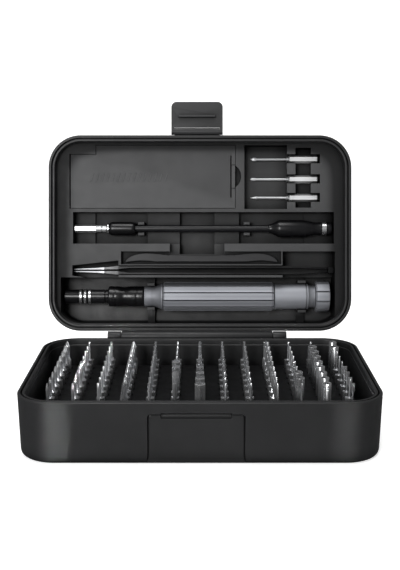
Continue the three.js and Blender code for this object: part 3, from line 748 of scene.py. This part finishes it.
driver_axis = (driver_y, driver_z)
ring_x = [-70.2, -67.6, -64.9]
holder = [(2.3, -71.2, 1), (2.3, -79.1, 1), (2.75, -79.7, 0), (3.6, -79.7), (4.0, -79.3), (4.0, -73.2)]
for x in ring_x:
    holder += [(4.0, x - 1.05), (3.7, x - 0.95), (3.7, x + 0.95), (4.0, x + 1.05)]
holder += [(4.0, -56.4), (3.6, -56.1), (3.6, -55.5), (4.0, -55.2), (4.0, -33.6), (3.6, -33.2)]
turned_piece("bit_holder_tube", holder, driver_axis, black_steel, "driver", ["bit_holder"])
for number, x in enumerate(ring_x, 1):
    band = [(3.8, x - 0.8), (4.2, x - 0.8), (4.38, x - 0.55), (4.38, x + 0.55), (4.2, x + 0.8),
            (3.8, x + 0.8)]
    turned_piece(f"holder_band_{number}", band, driver_axis, steel, "driver", [f"holder_ring_{number}"],
                 ring=True)

along = np.linspace(-53.2, -33.8, 40)
collar_radius = 6.0 - 0.5 * np.exp(-((along + 44.8) / 2.6) ** 2)
for groove_x in (-37.2, -50.2):
    collar_radius -= 0.18 * np.exp(-((along - groove_x) / 0.35) ** 2)
collar = [(4.4, -37.3), (4.9, -37.3), (4.9, -53.9), (5.4, -53.9), (5.85, -53.6)]
collar += list(zip(collar_radius, along)) + [(5.9, -33.3), (5.6, -33.1), (4.4, -33.1)]
turned_piece("sliding_collar", collar, driver_axis, black_steel, "chuck_collar", ["chuck_collar"],
             ring=True, smooth=50)

flare = np.linspace(0, 1, 12)
neck = [(3.3, -32.8), (5.6, -32.8), (5.9, -32.5), (5.9, -28.6)]
neck += [(5.9 + 2.0 * t * t, -28.4 + 6.0 * t) for t in flare] + [(7.95, -22.0), (7.6, -21.8), (3.3, -21.8)]
turned_piece("neck_flare", neck, driver_axis, anodised, "driver", ["driver_neck"],
             smooth=50)

flats = 12
flat_step = 2 * math.pi / flats
flat_reach = math.radians(12.5)
groove_reach = math.radians(13.2)
one_flat = np.array([-math.pi / flats, -groove_reach, -flat_reach, -flat_reach / 2, 0, flat_reach / 2,
                     flat_reach, groove_reach])
grip_angle = (np.arange(flats)[:, None] * flat_step + one_flat + math.pi / 2).reshape(-1)


def grip_section(angle):
    """Twelve flats with a narrow groove between neighbours: the distance to a flat is one over
    the cosine of the angle from its middle, and a groove is cut a tenth deeper."""
    off = np.mod(angle - math.pi / 2 + math.pi / flats, flat_step) - math.pi / flats
    return np.where(np.abs(off) > (flat_reach + groove_reach) / 2, 0.9, 1 / np.cos(off))


grip = [(7.2, -21.5, 0), (7.8, -21.5, 0.3), (8.4, -20.7, 1), (8.4, 41.9, 1), (7.9, 43.1, 0.5), (7.4, 43.4, 0)]
turned_piece("grip_flats", grip, driver_axis, anodised, "driver", ["driver_grip"],
             grip_angle, grip_section, smooth=12)

barrel = [(7.0, 43.7), (7.35, 43.7), (7.5, 43.9), (7.5, 61.9), (7.15, 62.0), (7.15, 62.6), (7.5, 62.7),
          (7.5, 63.3), (6.9, 63.9), (6.6, 64.6), (6.6, 66.9), (6.75, 67.4), (2.5, 67.4), (2.5, 72.5)]
turned_piece("smooth_barrel", barrel, driver_axis, anodised, "driver", ["driver_barrel"])

cap_ribs = 10
rib_step = 2 * math.pi / cap_ribs
one_rib = np.radians([-18, -15.6, -14.8, -8, 0, 8, 14.8, 15.6])
cap_angle = (np.arange(cap_ribs)[:, None] * rib_step + one_rib + math.pi / 2).reshape(-1)


def cap_section(angle):
    """Ten round ribs with a narrow slot between neighbours."""
    off = np.mod(angle - math.pi / 2 + math.pi / cap_ribs, rib_step) - math.pi / cap_ribs
    return np.where(np.abs(off) > math.radians(15.2), 0.92, 1.0)


cap = [(4.6, 73.0), (4.6, 67.7), (8.3, 67.7, 0), (8.6, 67.9, 0.6), (9.2, 68.6, 1), (9.3, 69.2, 1),
       (9.3, 74.9, 1), (9.0, 75.6, 1), (8.5, 75.9, 0.4), (7.3, 75.9, 0), (7.0, 75.6, 0), (3.0, 75.3, 0)]
turned_piece("spinning_cap", cap, driver_axis, anodised, "driver_end_cap", ["driver_end_cap"],
             cap_angle, cap_section)

# ---- Extension bar ----
# A black steel rod with a bright hexagonal tip at one end and a magnetic socket at the other.
# A loose sleeve spins on it, and a polished ring marks each end.
extension_axis = (59.6, -9.8)
satin_steel = surface("satin_steel", (0.58, 0.59, 0.60), (0.66, 0.67, 0.68), (0.32, 0.42),
                      (900.0, 0.000001), metallic=0.74, stretch=(0.2, 1.0, 1.0))
tip = [(1.9, -73.7, 1), (hex_radius, -73.3, 1), (hex_radius, -60.9, 1), (2.05, -60.7, 1),
       (2.05, -60.6, 0), (2.05, -57.9, 0), (1.8, -57.7, 0), (1.8, -57.3, 0), (2.1, -57.1, 0),
       (2.1, -54.9, 0), (1.7, -54.8, 0)]
turned_piece("hexagonal_tip", tip, extension_axis, satin_steel, "extension", [], smooth=20)
shaft = [(1.6, -54.7), (2.0, -54.4), (2.0, 49.8), (1.8, 50.0)]
turned_piece("extension_shaft", shaft, extension_axis, black_steel, "extension", ["extension_rod"])
shoulder = np.linspace(0, math.pi / 2, 9)
sleeve = [(2.4, -38.0), (2.4, -53.2), (2.9, -53.2)]
sleeve += [(2.95 + 1.0 * math.sin(t), -53.0 + 2.2 * (1 - math.cos(t))) for t in shoulder]
sleeve += [(2.95 + 1.0 * math.cos(t), -40.2 + 2.1 * math.sin(t)) for t in shoulder] + [(2.7, -38.0)]
turned_piece("spinning_sleeve", sleeve, extension_axis, black_steel, "extension_sleeve", ["extension_sleeve"],
             ring=True, smooth=50)
band = [(2.4, -54.5), (2.9, -54.5), (3.25, -54.2), (3.3, -53.5), (3.1, -53.3), (2.4, -53.3)]
turned_piece("sleeve_band", band, extension_axis, steel, "extension_sleeve", ["sleeve_ring"],
             ring=True)
wave = np.linspace(0, 1, 14)
socket = [(2.1, 50.0), (2.1, 40.4), (2.4, 40.2), (2.6, 40.5)]
socket += [(2.6 + 2.4 * (3 * t * t - 2 * t ** 3), 40.6 + 6.4 * t) for t in wave]
socket += [(5.0, 61.2), (4.3, 62.6), (4.3, 65.4), (3.75, 65.9), (3.75, 70.9), (3.4, 71.1), (3.4, 74.2),
           (3.75, 74.4), (3.75, 76.5), (3.4, 77.0), (2.8, 77.0, 0), (2.35, 76.5, 1), (2.35, 69.0, 1)]
turned_piece("bit_socket", socket, extension_axis, black_steel, "extension", ["extension_socket"],
             smooth=50)
band = [(3.5, 71.3), (3.85, 71.3), (3.98, 71.5), (3.98, 73.8), (3.85, 74.0), (3.5, 74.0)]
turned_piece("socket_band", band, extension_axis, steel, "extension", ["socket_ring"],
             ring=True)

# ---- Long bits ----
# Slim round blades with a 4 mm hexagonal shank, ground bright. Each has a tip of its own.
long_bit_z = -8.0
long_bit_y = [100.0, 88.3, 77.5]
long_tips = [
    [(0.15, 29.5, 0), (1.05, 31.0, 1), (1.15, 32.2, 1), (0.75, 33.4, 0)],
    [(0.35, 29.5, 0), (0.8, 30.2, 1), (0.85, 31.8, 1), (0.65, 33.2, 0)],
    [(0.1, 29.5, 0), (0.65, 32.0, 0), (0.95, 32.8, 0), (0.75, 34.0, 0)],
]
shank = [(0.75, 50.4, 0), (1.2, 50.6, 0), (1.2, 51.7, 0), (1.85, 51.9, 1), (hex_radius, 52.5, 1),
         (hex_radius, 68.1, 1), (1.9, 68.7, 1), (1.4, 68.9, 0)]
blade_angle = np.radians(15 * np.arange(24))


def flat_blade(angle):
    """A section pressed thin: 0.6 of the radius one way, and the whole of it the other."""
    return 0.6 + 0.4 * np.abs(np.cos(angle)) ** 0.7


for number, (y, blade) in enumerate(zip(long_bit_y, long_tips), 1):
    long_axis = (y, long_bit_z)
    rings = np.concatenate([turned(blade, long_axis, blade_angle, flat_blade),
                            turned(shank, long_axis, blade_angle, hexagon)])
    new_piece(f"long_blade_{number}", in_lid(rings).reshape(-1, 3), skin(rings), satin_steel,
              f"long_bit_{number}", [f"long_bit_{number}"], 20)

# ---- Tweezers ----
# One folded strip of spring steel, blackened, with its two points ground bright. The arms
# run side by side from the heel and come together in a wedge.
tweezers_y, tweezers_z = 35.15, -10.0
tweezers_end = 78.2


def ramp_finish(name, start, stop, bright, dark):
    """Bright ground metal up to a first x, an even grey up to a second, and black beyond it."""
    material = surface(name, dark, dark, (0.3, 0.42), (2200.0, 0.000006), metallic=0.2, specular=0.35)
    tree = material.node_tree
    shader = tree.nodes["Principled BSDF"]
    coordinates = tree.nodes.new("ShaderNodeTexCoord")
    axes = tree.nodes.new("ShaderNodeSeparateXYZ")
    tree.links.new(coordinates.outputs["Object"], axes.inputs["Vector"])
    ramp = tree.nodes.new("ShaderNodeValToRGB")
    ramp.color_ramp.interpolation = "CONSTANT"
    ramp.color_ramp.elements[0].color = (*bright, 1.0)
    ramp.color_ramp.elements[1].position = 1 / 3
    ramp.color_ramp.elements[1].color = (0.05, 0.05, 0.052, 1.0)
    last = ramp.color_ramp.elements.new(2 / 3)
    last.color = (*dark, 1.0)
    ranged = tree.nodes.new("ShaderNodeMapRange")
    ranged.inputs["From Min"].default_value = (2 * start - stop) * MM
    ranged.inputs["From Max"].default_value = (2 * stop - start) * MM
    tree.links.new(axes.outputs["X"], ranged.inputs["Value"])
    tree.links.new(ranged.outputs["Result"], ramp.inputs["Fac"])
    shade = tree.nodes.new("ShaderNodeMix")
    shade.data_type = "RGBA"
    shade.blend_type = "MULTIPLY"
    shade.inputs["Factor"].default_value = 0.5
    cloud = noise_value(tree, 300.0, (0.2, 1.0, 1.0))
    tree.links.new(ramp.outputs["Color"], shade.inputs["A"])
    tree.links.new(spread(tree, cloud, 0.8, 1.0), shade.inputs["B"])
    tree.links.new(shade.outputs["Result"], shader.inputs["Base Color"])
    return material


tweezer_steel = ramp_finish("tweezer_steel", -56.0, -47.6, (0.55, 0.56, 0.58), (0.004, 0.004, 0.0045))
arm_x = np.array([-74.0, -73.7, -73.2, -60.0, -52.0, -48.2, -47.6, -46.5, -42.0, -20.0, 10.0, 40.0, 58.0,
                  66.0, 74.1, 74.5])
arm_inner = np.interp(arm_x, [-74.0, -48.0, -43.0, 58.0, 74.5], [0.43, 0.43, 1.25, 1.25, 0.25])
arm_outer = np.interp(arm_x, [-74.0, -73.2, -56.0, -48.2, -47.6, -46.5, 58.0, 74.5],
                      [0.72, 0.85, 1.65, 2.7, 2.7, 2.4, 2.4, 1.4])
arm_half = np.interp(arm_x, [-74.0, -50.0, 74.0, 74.5], [0.8, 3.95, 3.95, 3.7])
arm_ease = 0.18
# The eight corners of a rectangle with cut corners: the side each is on, and the way it's cut.
box_turn = np.array([(-1, -1, 0, 1), (-1, -1, 1, 0), (1, -1, -1, 0), (1, -1, 0, 1), (1, 1, 0, -1),
                     (1, 1, -1, 0), (-1, 1, 1, 0), (-1, 1, 0, -1)], float)


def strip(x, y0, y1, half, middle, side, ease):
    """A rectangular section with cut corners, between two widths and two heights, carried along x."""
    width, centre = (y1 - y0) / 2, (y1 + y0) / 2
    cut = np.minimum(ease, 0.8 * width)
    y = centre[:, None] + width[:, None] * box_turn[:, 0] + cut[:, None] * box_turn[:, 2]
    z = half[:, None] * box_turn[:, 1] + cut[:, None] * box_turn[:, 3]
    return np.stack([np.repeat(x[:, None], 8, 1), middle[0] + side * y, middle[1] + z], -1)


tweezers_axis = (tweezers_y, tweezers_z)
for side, name in ((1, "upper"), (-1, "lower")):
    rings = strip(arm_x, arm_inner, arm_outer, arm_half, tweezers_axis, side, arm_ease)
    new_piece(f"tweezers_{name}_blade", in_lid(rings).reshape(-1, 3), skin(rings), tweezer_steel,
              f"tweezers_{name}_arm", [f"tweezers_{name}_arm"], 30)
heel_x = np.array([74.8, 75.0, 77.4, 78.0, tweezers_end])
heel_half = np.array([1.75, 1.9, 1.9, 1.6, 1.2])
heel_depth = np.array([3.8, 3.95, 3.95, 3.8, 3.5])
rings = strip(heel_x, -heel_half, heel_half, heel_depth, tweezers_axis, 1, 0.3)
new_piece("tweezers_fold", in_lid(rings).reshape(-1, 3), skin(rings), tweezer_steel, "tweezers",
          ["tweezers_heel"], 30)

# ---- Pry tool ----
# A stamped dark grey bar with a blade at each end that curves down to a point, and a shallow
# saddle with two pairs of small notches along its upper edge.
pry_grey = surface("pry_grey", (0.011, 0.011, 0.0115), (0.015, 0.015, 0.016), (0.42, 0.55),
                   (2000.0, 0.00001), metallic=0.1, specular=0.35, stretch=(0.3, 1.0, 1.0))
pry_x, pry_half, pry_sole, pry_top = 0.85, 44.2, 40.0, 45.2
pry_z, pry_thick = -6.3, 0.9
waist_end = 0.72
notch_x = (19.5, 22.5)
span = pry_half * np.sin(np.linspace(-math.pi / 2, math.pi / 2, 91))
part_way = np.abs(span) / pry_half
notches = sum(np.exp(-((np.abs(span) - place) / 0.7) ** 2) for place in notch_x)
shoulder_drop = np.clip((part_way - waist_end) / (1 - waist_end), 0, 1)
saddle = (1 - np.clip(part_way / waist_end, 0, 1) ** 2) ** 1.5
upper = pry_top - 1.7 * saddle - 0.3 * notches
upper = upper - 5.45 * (1 - np.sqrt(np.clip(1 - shoulder_drop ** 2, 0, 1)))
belly = np.sin(np.clip((part_way - 0.6) / 0.4, 0, 1) * math.pi)
lower = pry_sole + 0.6 * belly - 0.35 * np.clip((part_way - 0.8) / 0.2, 0, 1)
lower = np.minimum(lower, upper - 0.12)
rings = strip(pry_x + span, lower, upper, np.full(len(span), pry_thick), (0.0, pry_z), 1, 0.35)
new_piece("pry_bar", in_lid(rings).reshape(-1, 3), skin(rings), pry_grey, "pry_tool", ["pry_tool"], 30)
